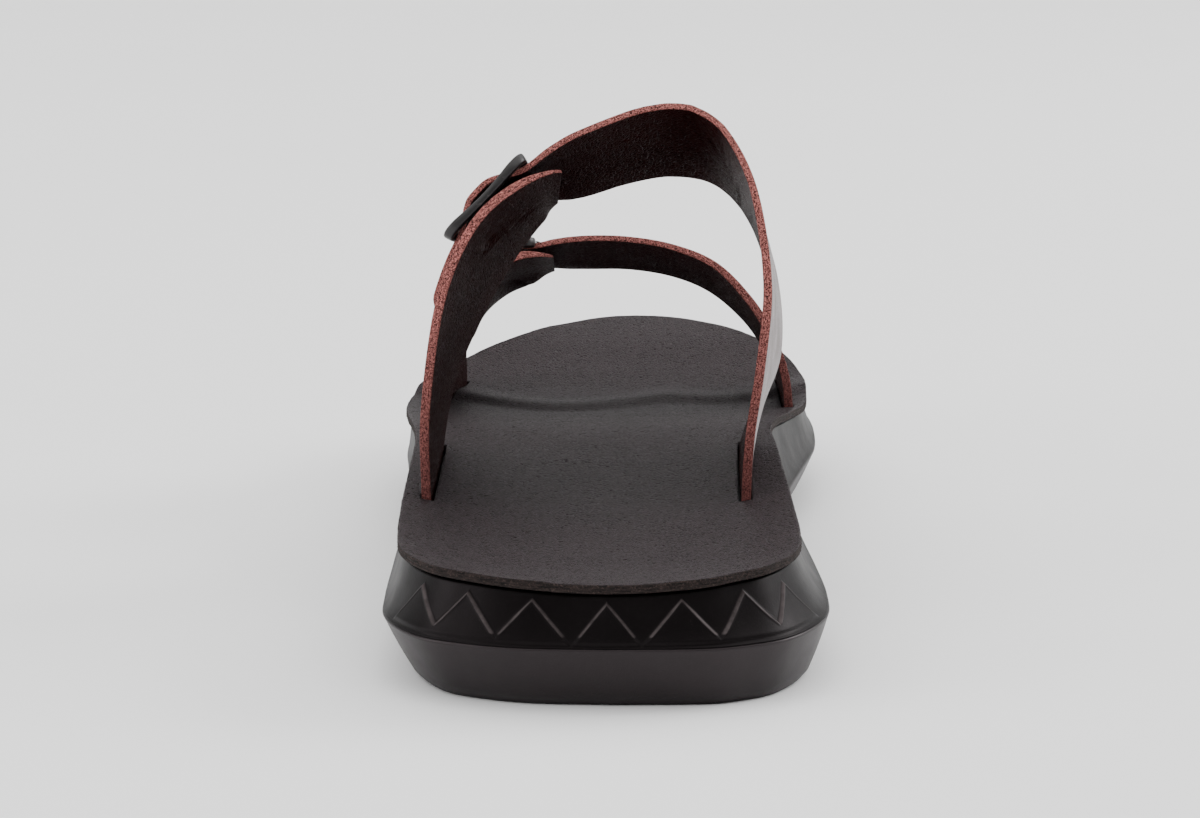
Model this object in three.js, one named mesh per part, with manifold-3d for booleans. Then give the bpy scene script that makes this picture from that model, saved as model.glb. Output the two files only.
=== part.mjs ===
// Open slide sandal for the left foot: a contoured foot bed on a two-layer sole, and two
// wide leather straps over the foot, each closed by a flat frame buckle on its outer side.
// Millimetres. X points to the inner side of the foot, Y to the toe, Z up.
// Lengths below are counted from the heel; the finished pieces are moved so that the origin
// is on the ground under the middle of the sole.
import * as THREE from 'three';
import Module from 'manifold-3d';

const wasm = await Module();
wasm.setup();

// Main sizes
const LENGTH = 277;
const HALF_WIDTH = 49;
const BED_HEIGHT = 25;
const RIDGE_HEIGHT = 12.6;
const FLARE = 5;
const TOE_SPRING = 9;
const REAR_STRAP_TOP = 105;
const FRONT_STRAP_TOP = 67;

// Thicknesses and clearances
const INSOLE = 1.9;
const STRAP = 2.3;
const GAP = 0.35;
const SLOT_CLEARANCE = 0.35;

// Sole walls
const HEEL_INSET = 5.6;
const TOE_INSET = 6.2;
const HEEL_LEAN = 1.2;
const EDGE_ROUND = 1.2;
const WALL_HOLLOW = 0.62;
const INSOLE_OVERHANG = 1.3;

// Where things happen along the sole, as shares of LENGTH: the lower wall's inset changes from
// the heel's to the toe's, the toe leaves the ground, and the caps run to their end points.
const INSET_START = 0.36;
const INSET_SPAN = 0.22;
const SPRING_START = 0.76;
const CAP_STOP = 0.145;

// Share of the toe spring that the ridge follows, and the middle line of the caps at the
// heel and at the toe, as shares of HALF_WIDTH
const RIDGE_SPRING = 0.9;
const CAP_MIDDLE = { heel: -0.03, toe: 0.08 };

// Foot bed
const TOE_BAR_RISE = 1.5;
const TOE_BAR_REAR = 7;
const TOE_BAR_FRONT = 18;
const CUP_POWER = 2.6;
const CUP_LEAST = 0.3;

// Raised triangles round the heel
const TRIANGLE_RISE = 0.7;
const TRIANGLE_ROOT = 1.6;
const TRIANGLE_HALF = 6.2;
const TRIANGLE_PITCH = 13.4;

// Heights on the heel wall, as shares of it: a triangle's lower edge and foot corners, and
// the share of its rise that is left at the lower edge
const TRIANGLE_SHARES = { base: 0.06, foot: 0.18, fade: 0.15 };

// Buckle
const BAR = 1.5;
const MIDDLE_BAR_WIDTH = 1.8;
const END_BAR_WIDTH = 2.5;
const RAIL_WIDTH = 2.6;
const RAIL_PAST = 0.25;
const BAR_INSET = 0.4;
const BAR_THINNER = 0.05;
const END_LIFT = 2.65;
const PRONG_WIDTH = 2.4;
const PRONG = 1.5;
const PRONG_REACH = 1.8;
const PRONG_ROOT = 1.8;
const HOLE_ROOM = 0.85;

// Strap halves: room between the tongue and a rail, rows past the join where the tongue has
// its full width, taper of its tip, and the outer half's end, pared from within so that it
// lies flat under the inner half
const TONGUE_ROOM = 0.8;
const WIDEN_ROWS = 0.5;
const TIP_TAPER = 8;
const TIP_LENGTH = 5.5;
const PARE_DEPTH = 1.3;
const PARE_LENGTH = 9;

// The outer half's end also bends in toward the foot at its rear edge: depths for the two
// straps, and the length that bends
const REAR_END_BEND = 2.2;
const FRONT_END_BEND = 0.8;
const END_BEND_LENGTH = 15;

// The inner half over the middle bar: half length of the level part, and the share of the
// way to the next bar that the slope takes
const CLIMB_TOP = 1.3;
const CLIMB_SHARE = 0.82;

// Slots for the strap ends: how deep they follow the strap, in rows of its table, and room
// at each side
const SLOT_ROWS = 1.45;
const SLOT_PAST_ROWS = 0.06;
const SLOT_SIDE = 0.5;

// Mesh density
const STEPS_PER_ROW = 3;
const ALONG_PER_ROW = 2;
const ALONG_PER_ROW_TONGUE = 3.2;
const ACROSS = 4;
const TRIANGLE_COLUMNS = 6;
const SEARCH_STEPS = 40;
const CAP_RINGS = [0.93, 0.82, 0.66, 0.46, 0.24];
const WALL_LEVELS = [0, 0.3, 0.65, 1];

// Outline of the foot bed, one row per section from heel to toe.
// Columns: share of LENGTH, outer side and inner side as shares of HALF_WIDTH,
// flare of the sole past it on the outer side and the inner side as shares of FLARE.
const OUTLINE = [
  [0.009, 0.0, 0.0, 0.4, 0.4],
  [0.015, -0.33, 0.35, 0.5, 0.6],
  [0.03, -0.55, 0.52, 0.6, 0.9],
  [0.053, -0.714, 0.665, 0.7, 1.05],
  [0.1, -0.83, 0.775, 0.7, 1.16],
  [0.162, -0.863, 0.802, 0.56, 1.14],
  [0.245, -0.875, 0.8, 0.42, 1.0],
  [0.336, -0.877, 0.792, 0.36, 0.8],
  [0.437, -0.876, 0.777, 0.3, 0.7],
  [0.51, -0.89, 0.777, 0.2, 0.75],
  [0.617, -0.955, 0.898, 0.0, 0.6],
  [0.69, -0.98, 0.986, 0.0, 0.48],
  [0.758, -0.95, 1.014, 0.1, 0.46],
  [0.809, -0.872, 1.01, 0.25, 0.46],
  [0.852, -0.755, 0.972, 0.4, 0.48],
  [0.888, -0.63, 0.905, 0.5, 0.52],
  [0.921, -0.485, 0.8, 0.55, 0.55],
  [0.957, -0.315, 0.655, 0.6, 0.6],
  [0.985, -0.115, 0.46, 0.6, 0.6],
  [0.9965, 0.03, 0.315, 0.6, 0.6],
  [1.0, 0.17, 0.17, 0.6, 0.6],
];

// Height of the foot bed, one row per section.
// Columns: share of LENGTH, middle, rise to the outer edge, rise to the inner edge,
// the last three as shares of BED_HEIGHT.
const BED = [
  [0.0, 1.01, 0.0, 0.0],
  [0.04, 0.965, 0.09, 0.09],
  [0.11, 0.9, 0.155, 0.155],
  [0.2, 0.88, 0.165, 0.165],
  [0.33, 0.925, 0.14, 0.15],
  [0.44, 1.005, 0.08, 0.13],
  [0.53, 1.045, 0.04, 0.1],
  [0.61, 1.0, 0.02, 0.05],
  [0.69, 0.935, 0.02, 0.03],
  [0.78, 0.915, 0.04, 0.04],
  [0.85, 1.0, 0.05, 0.05],
  [0.92, 1.13, 0.04, 0.04],
  [1.0, 1.255, 0.0, 0.0],
];

// Line of the bar under the toes. Columns: share of HALF_WIDTH, share of LENGTH.
const TOE_BAR = [
  [-1.0, 0.775],
  [-0.68, 0.735],
  [-0.3, 0.68],
  [0.0, 0.69],
  [0.3, 0.732],
  [0.6, 0.722],
  [1.0, 0.77],
];

// Inner face of each strap, one row per station from the outer slot over the foot to the
// inner slot. Columns: x, y, z of the rear edge, then x, y, z of the front edge, as shares
// of HALF_WIDTH, LENGTH and the strap's own top height.
const REAR_STRAP = [
  [-0.741, 0.278, 0.143, -0.735, 0.458, 0.143],
  [-0.751, 0.28, 0.257, -0.735, 0.462, 0.257],
  [-0.755, 0.293, 0.415, -0.673, 0.469, 0.4],
  [-0.697, 0.314, 0.617, -0.52, 0.48, 0.557],
  [-0.578, 0.329, 0.755, -0.398, 0.487, 0.652],
  [-0.404, 0.339, 0.844, -0.28, 0.491, 0.723],
  [-0.206, 0.347, 0.897, -0.208, 0.491, 0.748],
  [0.01, 0.354, 0.94, -0.05, 0.491, 0.766],
  [0.202, 0.354, 0.97, 0.125, 0.491, 0.785],
  [0.351, 0.354, 0.971, 0.311, 0.491, 0.796],
  [0.465, 0.343, 0.931, 0.478, 0.491, 0.779],
  [0.563, 0.326, 0.833, 0.605, 0.484, 0.714],
  [0.612, 0.312, 0.665, 0.69, 0.477, 0.6],
  [0.588, 0.302, 0.502, 0.706, 0.469, 0.462],
  [0.542, 0.294, 0.358, 0.628, 0.466, 0.357],
  [0.527, 0.289, 0.248, 0.555, 0.462, 0.25],
  [0.53, 0.289, 0.143, 0.545, 0.462, 0.143],
];
const FRONT_STRAP = [
  [-0.822, 0.664, 0.216, -0.704, 0.796, 0.216],
  [-0.827, 0.661, 0.373, -0.698, 0.798, 0.373],
  [-0.816, 0.655, 0.463, -0.698, 0.798, 0.482],
  [-0.8, 0.65, 0.522, -0.66, 0.8, 0.53],
  [-0.724, 0.639, 0.694, -0.6, 0.797, 0.614],
  [-0.582, 0.63, 0.845, -0.48, 0.778, 0.712],
  [-0.418, 0.625, 0.922, -0.357, 0.764, 0.754],
  [-0.251, 0.621, 0.93, -0.251, 0.753, 0.776],
  [-0.061, 0.621, 0.94, -0.061, 0.751, 0.781],
  [0.122, 0.621, 0.935, 0.122, 0.751, 0.775],
  [0.306, 0.621, 0.91, 0.324, 0.751, 0.743],
  [0.48, 0.623, 0.855, 0.5, 0.756, 0.682],
  [0.62, 0.63, 0.751, 0.653, 0.765, 0.579],
  [0.716, 0.641, 0.638, 0.755, 0.782, 0.47],
  [0.792, 0.655, 0.492, 0.806, 0.794, 0.403],
  [0.818, 0.664, 0.366, 0.82, 0.798, 0.343],
  [0.816, 0.664, 0.216, 0.816, 0.798, 0.216],
];

// Stations along each strap, counted in rows of its table: end of the outer half,
// tip of the inner half's tongue, and the three bars of the buckle.
const REAR_STATIONS = { join: 6.0, tip: 2.8, lowBar: 3.88, midBar: 4.58, topBar: 5.42 };
const FRONT_STATIONS = { join: 7.0, tip: 3.6, lowBar: 4.55, midBar: 5.4, topBar: 6.32 };

// Raised triangles round the heel: a row for the middle one, then one for each pair beside it.
// Columns: way round the outline from the middle of the heel, in triangle pitches, half width
// as a share of TRIANGLE_HALF, and height of the peak as a share of the wall's.
const TRIANGLES = [
  [0.0, 0.85, 0.8],
  [1.08, 1.0, 0.84],
  [2.09, 1.0, 0.84],
  [3.0, 1.0, 0.84],
];

function lerp(a, b, t) {
  return a + (b - a) * t;
}

function smooth(t) {
  const c = Math.min(1, Math.max(0, t));
  return c * c * (3 - 2 * c);
}

// Value of every column at a row number that may lie between rows or past the ends
function row(table, at) {
  const last = table.length - 1;
  const i = Math.min(last - 1, Math.max(0, Math.floor(at)));
  const t = at - i;
  const mid = table[i];
  const next = table[i + 1];
  const before = i > 0 ? table[i - 1] : mid.map((v, k) => 2 * v - next[k]);
  const after = i < last - 1 ? table[i + 2] : next.map((v, k) => 2 * v - mid[k]);
  if (t < 0) return mid.map((v, k) => v + (next[k] - v) * t);
  if (t > 1) return next.map((v, k) => v + (v - mid[k]) * (t - 1));
  return mid.map((v, k) => {
    const m0 = (next[k] - before[k]) / 2;
    const m1 = (after[k] - v) / 2;
    const t2 = t * t;
    const t3 = t2 * t;
    return (2 * t3 - 3 * t2 + 1) * v + (t3 - 2 * t2 + t) * m0
      + (3 * t2 - 2 * t3) * next[k] + (t3 - t2) * m1;
  });
}

// Row number at which the first column reaches a value
function rowAt(table, value) {
  let low = 0;
  let high = table.length - 1;
  for (let step = 0; step < SEARCH_STEPS; step += 1) {
    const mid = (low + high) / 2;
    if (row(table, mid)[0] < value) low = mid;
    else high = mid;
  }
  return (low + high) / 2;
}

// Foot-bed height over any point
function bedHeight(x, y) {
  const share = y / LENGTH;
  const edge = row(OUTLINE, rowAt(OUTLINE, share));
  const half = HALF_WIDTH * Math.max(CUP_LEAST, Math.abs(x < 0 ? edge[1] : edge[2]));
  const bed = row(BED, rowAt(BED, share));
  const rise = x < 0 ? bed[2] : bed[3];
  const cup = rise * Math.pow(Math.min(1, Math.abs(x) / half), CUP_POWER);
  const bar = y - LENGTH * row(TOE_BAR, rowAt(TOE_BAR, x / HALF_WIDTH))[1];
  const before = smooth(1 + bar / TOE_BAR_REAR);
  const after = smooth(1 - bar / TOE_BAR_FRONT);
  return BED_HEIGHT * (bed[1] + cup) + TOE_BAR_RISE * (bar < 0 ? before : after);
}

// Underside of the sole: flat on the ground, lifted at the toe
function groundHeight(y) {
  const t = Math.max(0, (y / LENGTH - SPRING_START) / (1 - SPRING_START));
  return TOE_SPRING * t * t;
}

function ridgeHeight(y) {
  return RIDGE_HEIGHT + groundHeight(y) * RIDGE_SPRING;
}

// Closed outline, anticlockwise from the heel: point, outward normal and flare
function outlineLoop(perRow) {
  const rows = (OUTLINE.length - 1) * perRow;
  const points = [];
  for (let i = 0; i < 2 * rows; i += 1) {
    const inner = i <= rows;
    const section = row(OUTLINE, (inner ? i : 2 * rows - i) / perRow);
    points.push({
      x: HALF_WIDTH * section[inner ? 2 : 1],
      y: LENGTH * section[0],
      flare: FLARE * section[inner ? 4 : 3],
    });
  }
  points.forEach((p, i) => {
    const a = points[(i + points.length - 1) % points.length];
    const b = points[(i + 1) % points.length];
    const length = Math.hypot(b.x - a.x, b.y - a.y);
    p.nx = (b.y - a.y) / length;
    p.ny = (a.x - b.x) / length;
  });
  return points;
}

const LOOP = outlineLoop(STEPS_PER_ROW);

// One ring of points: the outline moved outward, drawn in toward the middle line by a share
function ring(offset, height, share = 1) {
  return LOOP.map((p) => {
    const out = offset(p);
    const x = p.x + p.nx * out;
    const y = p.y + p.ny * out;
    const middleY = LENGTH * Math.min(1 - CAP_STOP, Math.max(CAP_STOP, y / LENGTH));
    const middleX = HALF_WIDTH * lerp(CAP_MIDDLE.heel, CAP_MIDDLE.toe, middleY / LENGTH);
    const px = lerp(middleX, x, share);
    const py = lerp(middleY, y, share);
    return [px, py, height(px, py)];
  });
}

function toSolid(points, faces) {
  const mesh = new wasm.Mesh({
    numProp: 3,
    vertProperties: new Float32Array(points.flat()),
    triVerts: new Uint32Array(faces.flat()),
  });
  return new wasm.Manifold(mesh);
}

// Closed body from rings stacked from its underside to its top. Past the top edge's ring the
// quads are split the other way, so that facing caps of two bodies have the same facets.
function ringBody(rings, topEdge) {
  const count = rings[0].length;
  const half = count / 2;
  const faces = [];
  for (let k = 0; k < rings.length - 1; k += 1) {
    for (let i = 0; i < count; i += 1) {
      const j = (i + 1) % count;
      const a = k * count;
      const b = a + count;
      if (k < topEdge) faces.push([a + i, a + j, b + j], [a + i, b + j, b + i]);
      else faces.push([a + i, a + j, b + i], [a + j, b + j, b + i]);
    }
  }
  const top = (rings.length - 1) * count;
  for (let i = 0; i < half; i += 1) {
    const j = (count - i) % count;
    const k = count - i - 1;
    if (i > 0) {
      faces.push([j, i + 1, i], [top + j, top + i, top + i + 1]);
    }
    if (k !== i + 1) {
      faces.push([j, k, i + 1], [top + j, top + i + 1, top + k]);
    }
  }
  return toSolid(rings.flat(), faces);
}

// Closed body from two matching grids of points, the second one on the outer side
function gridBody(inner, outer) {
  const rows = inner.length;
  const columns = inner[0].length;
  const size = rows * columns;
  const at = (i, j) => i * columns + j;
  const faces = [];
  const quad = (a, b, c, d) => faces.push([a, b, c], [a, c, d]);
  for (let i = 0; i < rows - 1; i += 1) {
    for (let j = 0; j < columns - 1; j += 1) {
      quad(at(i, j), at(i, j + 1), at(i + 1, j + 1), at(i + 1, j));
      quad(size + at(i, j), size + at(i + 1, j), size + at(i + 1, j + 1), size + at(i, j + 1));
    }
  }
  for (let i = 0; i < rows - 1; i += 1) {
    const j = columns - 1;
    quad(at(i, 0), at(i + 1, 0), size + at(i + 1, 0), size + at(i, 0));
    quad(at(i, j), size + at(i, j), size + at(i + 1, j), at(i + 1, j));
  }
  for (let j = 0; j < columns - 1; j += 1) {
    const i = rows - 1;
    quad(at(0, j), size + at(0, j), size + at(0, j + 1), at(0, j + 1));
    quad(at(i, j), at(i, j + 1), size + at(i, j + 1), size + at(i, j));
  }
  return toSolid([...inner.flat(), ...outer.flat()], faces);
}

// Point of a strap: station along it, share across it from the rear edge, height off its face
function strapPoint(strap, along, across, off) {
  const at = (u, v) => {
    const s = row(strap.table, u);
    return new THREE.Vector3(
      HALF_WIDTH * lerp(s[0], s[3], v),
      LENGTH * lerp(s[1], s[4], v),
      strap.top * lerp(s[2], s[5], v),
    );
  };
  const step = 0.05;
  const lengthways = at(along + step, across).sub(at(along - step, across));
  const sideways = at(along, across + step).sub(at(along, across - step));
  const normal = lengthways.cross(sideways).normalize();
  return at(along, across).addScaledVector(normal, off).toArray();
}

// Millimetres per row along a strap and from edge to edge across it, near one of its stations
function strapScale(strap, along) {
  const at = (u, v) => new THREE.Vector3(...strapPoint(strap, u, v, 0));
  return {
    perRow: at(along + 0.5, 0.5).distanceTo(at(along - 0.5, 0.5)),
    width: at(along, 1).distanceTo(at(along, 0)),
  };
}

// Strip that follows a strap: stations from and to, then what gives its edges and its faces
function stripBody(strap, from, to, steps, acrossSteps, edges, faces) {
  const inner = [];
  const outer = [];
  for (let i = 0; i <= steps; i += 1) {
    const u = lerp(from, to, i / steps);
    const [rear, front] = edges(u);
    const low = [];
    const high = [];
    for (let j = 0; j <= acrossSteps; j += 1) {
      const v = lerp(rear, front, j / acrossSteps);
      const [near, far] = faces(u, v);
      low.push(strapPoint(strap, u, v, near));
      high.push(strapPoint(strap, u, v, far));
    }
    inner.push(low);
    outer.push(high);
  }
  return gridBody(inner, outer);
}

// Height of the inner half's inner face over the outer half: it climbs over the middle bar
function layerHeight(strap, u) {
  const { midBar, topBar, lowBar } = strap.stations;
  const reach = CLIMB_SHARE * (u > midBar ? topBar - midBar : midBar - lowBar);
  const level = CLIMB_TOP / strapScale(strap, midBar).perRow;
  const climb = 1 - smooth(Math.max(0, Math.abs(u - midBar) - level) / reach);
  return STRAP + GAP + (BAR + GAP) * climb;
}

// Edges of the inner half: full width over the foot, narrower from the buckle on, tapered tip
function tongueEdges(strap, u) {
  const { join, tip, topBar } = strap.stations;
  const atBar = strapScale(strap, topBar);
  const start = topBar + END_BAR_WIDTH / atBar.perRow;
  const inset = (RAIL_WIDTH + TONGUE_ROOM) / atBar.width;
  const narrow = inset * (1 - smooth((u - start) / (join + WIDEN_ROWS - start)));
  const atTip = strapScale(strap, tip);
  const taper = (TIP_TAPER / atTip.width) * (1 - smooth(((u - tip) * atTip.perRow) / TIP_LENGTH));
  return [narrow + taper, 1 - narrow - taper];
}

function outerHalf(strap) {
  const join = strap.stations.join;
  const steps = Math.round(join * ALONG_PER_ROW);
  const { perRow } = strapScale(strap, join);
  const near = (u, length) => smooth(1 - ((join - u) * perRow) / length);
  const faces = (u, v) => {
    const bend = strap.endBend * (1 - v) * near(u, END_BEND_LENGTH);
    return [PARE_DEPTH * near(u, PARE_LENGTH) - bend, STRAP - bend];
  };
  return stripBody(strap, 0, join, steps, ACROSS, () => [0, 1], faces);
}

function innerHalf(strap) {
  const { tip, midBar } = strap.stations;
  const last = strap.table.length - 1;
  const steps = Math.round((last - tip) * ALONG_PER_ROW_TONGUE);
  const body = stripBody(strap, tip, last, steps, ACROSS, (u) => tongueEdges(strap, u), (u) => {
    const low = layerHeight(strap, u);
    return [low, low + STRAP];
  });
  const scale = strapScale(strap, midBar);
  const half = (PRONG_WIDTH / 2 + HOLE_ROOM) / scale.width;
  const rear = midBar - (MIDDLE_BAR_WIDTH / 2 + HOLE_ROOM / 2) / scale.perRow;
  const front = midBar + (MIDDLE_BAR_WIDTH + 2 * HOLE_ROOM) / scale.perRow;
  const sides = () => [0.5 - half, 0.5 + half];
  const hole = stripBody(strap, rear, front, 4, 2, sides, () => [STRAP / 2, 4 * STRAP]);
  return body.subtract(hole);
}

// Room for a strap end in the foot bed and the sole
function slotCutter(strap, outerSide) {
  const last = strap.table.length - 1;
  const from = outerSide ? -SLOT_PAST_ROWS : last - SLOT_ROWS;
  const to = outerSide ? SLOT_ROWS : last + SLOT_PAST_ROWS;
  const base = outerSide ? 0 : STRAP + GAP;
  const side = SLOT_SIDE / strapScale(strap, from).width;
  const faces = () => [base - SLOT_CLEARANCE, base + STRAP + SLOT_CLEARANCE];
  return stripBody(strap, from, to, 6, ACROSS, () => [-side, 1 + side], faces);
}

// Buckle frame: two side rails joined by a top, a middle and a low bar
function buckleFrame(strap) {
  const { lowBar, midBar, topBar } = strap.stations;
  const base = STRAP + GAP;
  const lift = (u) => {
    const t = u > midBar ? (u - midBar) / (topBar - midBar) : (midBar - u) / (midBar - lowBar);
    return base + END_LIFT * t * t;
  };
  const bar = (u, width, low) => {
    const scale = strapScale(strap, u);
    const half = width / 2 / scale.perRow;
    const edge = BAR_INSET / scale.width;
    const faces = () => [low + BAR_THINNER, low + BAR - BAR_THINNER];
    return stripBody(strap, u - half, u + half, 1, 8, () => [edge, 1 - edge], faces);
  };
  const past = (u) => (END_BAR_WIDTH / 2 + RAIL_PAST) / strapScale(strap, u).perRow;
  const share = (u) => RAIL_WIDTH / strapScale(strap, u).width;
  const rail = (edges) => stripBody(
    strap, lowBar - past(lowBar), topBar + past(topBar), 8, 1,
    edges, (u) => [lift(u), lift(u) + BAR],
  );
  return rail((u) => [0, share(u)])
    .add(rail((u) => [1 - share(u), 1]))
    .add(bar(lowBar, END_BAR_WIDTH, base + END_LIFT))
    .add(bar(topBar, END_BAR_WIDTH, base + END_LIFT))
    .add(bar(midBar, MIDDLE_BAR_WIDTH, base));
}

// Prong: from the middle bar up through the strap, then along it to the top bar
function bucklePin(strap) {
  const { midBar, topBar } = strap.stations;
  const scale = strapScale(strap, midBar);
  const half = PRONG_WIDTH / 2 / scale.width;
  const sides = () => [0.5 - half, 0.5 + half];
  const over = 2 * (STRAP + GAP) + BAR + GAP;
  const onBar = STRAP + GAP + END_LIFT + BAR + GAP;
  const rear = midBar - PRONG_ROOT / 4 / scale.perRow;
  const front = rear + PRONG_ROOT / scale.perRow;
  const tip = topBar + PRONG_REACH / strapScale(strap, topBar).perRow;
  const rootFaces = () => [STRAP + BAR + 2 * GAP, over + PRONG / 2];
  const bladeFaces = (u) => {
    const low = lerp(over, onBar, smooth((u - midBar) / (topBar - midBar)));
    return [low, low + PRONG];
  };
  return stripBody(strap, rear, front, 1, 1, sides, rootFaces)
    .add(stripBody(strap, rear, tip, 8, 1, sides, bladeFaces));
}

function insoleBody() {
  const under = (x, y) => bedHeight(x, y) - INSOLE;
  const flush = () => 0;
  const rings = [...CAP_RINGS].reverse().map((s) => ring(flush, under, s));
  rings.push(ring(flush, under));
  rings.push(ring(flush, bedHeight));
  CAP_RINGS.forEach((s) => rings.push(ring(flush, bedHeight, s)));
  return ringBody(rings, CAP_RINGS.length + 1);
}

// Height and reach of the upper wall at a share of its height, from the ridge to the foot bed
function wallOffset(p, share) {
  return lerp(p.flare, -INSOLE_OVERHANG, Math.pow(share, WALL_HOLLOW));
}

function midsoleBody() {
  const top = (x, y) => bedHeight(x, y) - INSOLE - GAP;
  const level = (share) => (x, y) => lerp(ridgeHeight(y) + GAP / 2, top(x, y), share);
  const rings = [];
  WALL_LEVELS.forEach((share) => rings.push(ring((p) => wallOffset(p, share), level(share))));
  CAP_RINGS.forEach((s) => rings.push(ring(() => 0, top, s)));
  return ringBody(rings, WALL_LEVELS.length - 1);
}

function outsoleBody() {
  const lift = (by) => (x, y) => groundHeight(y) + by;
  const inset = (p) => {
    const forward = smooth((p.y / LENGTH - INSET_START) / INSET_SPAN);
    return lerp(HEEL_INSET - HEEL_LEAN * p.nx, TOE_INSET, forward);
  };
  const rings = [
    ring((p) => p.flare - inset(p) - EDGE_ROUND, lift(0)),
    ring((p) => p.flare - inset(p), lift(EDGE_ROUND)),
    ring((p) => p.flare, (x, y) => ridgeHeight(y) - GAP / 2),
  ];
  return ringBody(rings, rings.length);
}

// Place on the outline at a distance from the heel: the outer side is below zero
function outlinePlace(distance) {
  const step = distance < 0 ? -1 : 1;
  let left = Math.abs(distance);
  let i = 0;
  for (;;) {
    const a = LOOP[(i + LOOP.length) % LOOP.length];
    const b = LOOP[(i + step + LOOP.length) % LOOP.length];
    const length = Math.hypot(b.x - a.x, b.y - a.y);
    if (left <= length) {
      const t = left / length;
      const keys = ['x', 'y', 'nx', 'ny', 'flare'];
      return Object.fromEntries(keys.map((key) => [key, lerp(a[key], b[key], t)]));
    }
    left -= length;
    i += step;
  }
}

// One raised triangle on the heel wall, its outer face following the wall
function heelTriangle(centre, half, peak) {
  const { base, foot, fade } = TRIANGLE_SHARES;
  const inner = [];
  const outer = [];
  for (let i = 0; i <= TRIANGLE_COLUMNS; i += 1) {
    const side = (i / TRIANGLE_COLUMNS) * 2 - 1;
    const p = outlinePlace(centre + side * half);
    const high = lerp(peak, foot, Math.abs(side));
    const point = (share, out) => {
      const reach = wallOffset(p, share) + out;
      const x = p.x + p.nx * reach;
      const y = p.y + p.ny * reach;
      const top = bedHeight(p.x, p.y) - INSOLE - GAP;
      return [x, y, lerp(ridgeHeight(p.y) + GAP / 2, top, share)];
    };
    inner.push([point(base, -TRIANGLE_ROOT), point(high, -TRIANGLE_ROOT)]);
    outer.push([point(base, TRIANGLE_RISE * fade), point(high, TRIANGLE_RISE)]);
  }
  return gridBody(inner, outer);
}

const group = new THREE.Group();
group.name = 'slide_sandal';

function addPiece(name, solid, colour, roughness, metalness) {
  const source = solid.getMesh();
  const geometry = new THREE.BufferGeometry();
  geometry.setAttribute('position', new THREE.BufferAttribute(new Float32Array(source.vertProperties), 3));
  geometry.setIndex(new THREE.BufferAttribute(new Uint32Array(source.triVerts), 1));
  geometry.translate(0, -LENGTH / 2, 0);
  geometry.computeVertexNormals();
  const material = new THREE.MeshStandardMaterial({ color: colour, roughness, metalness });
  const mesh = new THREE.Mesh(geometry, material);
  mesh.name = name;
  group.add(mesh);
}

const straps = {
  rear: {
    table: REAR_STRAP, top: REAR_STRAP_TOP, stations: REAR_STATIONS, endBend: REAR_END_BEND,
  },
  front: {
    table: FRONT_STRAP, top: FRONT_STRAP_TOP, stations: FRONT_STATIONS, endBend: FRONT_END_BEND,
  },
};

let insole = insoleBody();
let midsole = midsoleBody();
TRIANGLES.forEach(([way, half, peak]) => {
  const sides = way > 0 ? [-1, 1] : [1];
  sides.forEach((side) => {
    const centre = side * way * TRIANGLE_PITCH;
    midsole = midsole.add(heelTriangle(centre, half * TRIANGLE_HALF, peak));
  });
});
Object.values(straps).forEach((strap) => {
  [true, false].forEach((outerSide) => {
    const cutter = slotCutter(strap, outerSide);
    insole = insole.subtract(cutter);
    midsole = midsole.subtract(cutter);
  });
});

addPiece('outsole', outsoleBody(), 0x1b1b1d, 0.55, 0);
addPiece('midsole', midsole, 0x161618, 0.5, 0);
addPiece('insole', insole, 0x3a3535, 0.75, 0);
Object.entries(straps).forEach(([name, strap]) => {
  addPiece(`${name}_strap_outer`, outerHalf(strap), 0x3a1a1c, 0.5, 0);
  addPiece(`${name}_strap_inner`, innerHalf(strap), 0x3a1a1c, 0.5, 0);
  addPiece(`${name}_buckle_frame`, buckleFrame(strap), 0x1c1c1e, 0.4, 0.8);
  addPiece(`${name}_buckle_prong`, bucklePin(strap), 0x1c1c1e, 0.4, 0.8);
});

export default group;
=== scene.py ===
import math

import bpy
import numpy as np
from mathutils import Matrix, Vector, noise


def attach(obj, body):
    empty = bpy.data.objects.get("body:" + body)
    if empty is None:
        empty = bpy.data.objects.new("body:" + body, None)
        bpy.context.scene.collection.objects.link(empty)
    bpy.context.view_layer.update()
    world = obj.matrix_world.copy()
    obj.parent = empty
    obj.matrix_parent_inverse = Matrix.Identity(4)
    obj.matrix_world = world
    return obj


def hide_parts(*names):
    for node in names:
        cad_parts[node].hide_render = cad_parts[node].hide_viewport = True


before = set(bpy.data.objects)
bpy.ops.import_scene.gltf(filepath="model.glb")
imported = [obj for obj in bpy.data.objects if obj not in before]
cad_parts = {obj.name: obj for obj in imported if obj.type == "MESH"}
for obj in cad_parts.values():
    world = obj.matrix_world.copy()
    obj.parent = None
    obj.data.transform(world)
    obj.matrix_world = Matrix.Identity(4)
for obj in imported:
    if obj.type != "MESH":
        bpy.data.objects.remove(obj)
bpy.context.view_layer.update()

MM = 0.001

# Main sizes
LENGTH = 277.0
HALF_WIDTH = 49.0
BED_HEIGHT = 25.0
RIDGE_HEIGHT = 12.6
FLARE = 5.0
TOE_SPRING = 9.0
REAR_STRAP_TOP = 105.0
FRONT_STRAP_TOP = 67.0

# Thicknesses and clearances
INSOLE = 1.9
STRAP = 2.3
GAP = 0.35

# Sole walls: how far the base stands in from the ridge, power of the midsole wall's hollow, and
# how far the insole hangs over that wall
HEEL_INSET = 5.6
TOE_INSET = 6.2
HEEL_LEAN = 1.2
WALL_HOLLOW = 0.62
INSOLE_OVERHANG = 1.3

# Where things happen along the sole, as shares of LENGTH
INSET_START = 0.36
INSET_SPAN = 0.22
SPRING_START = 0.76
CAP_STOP = 0.145

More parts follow.
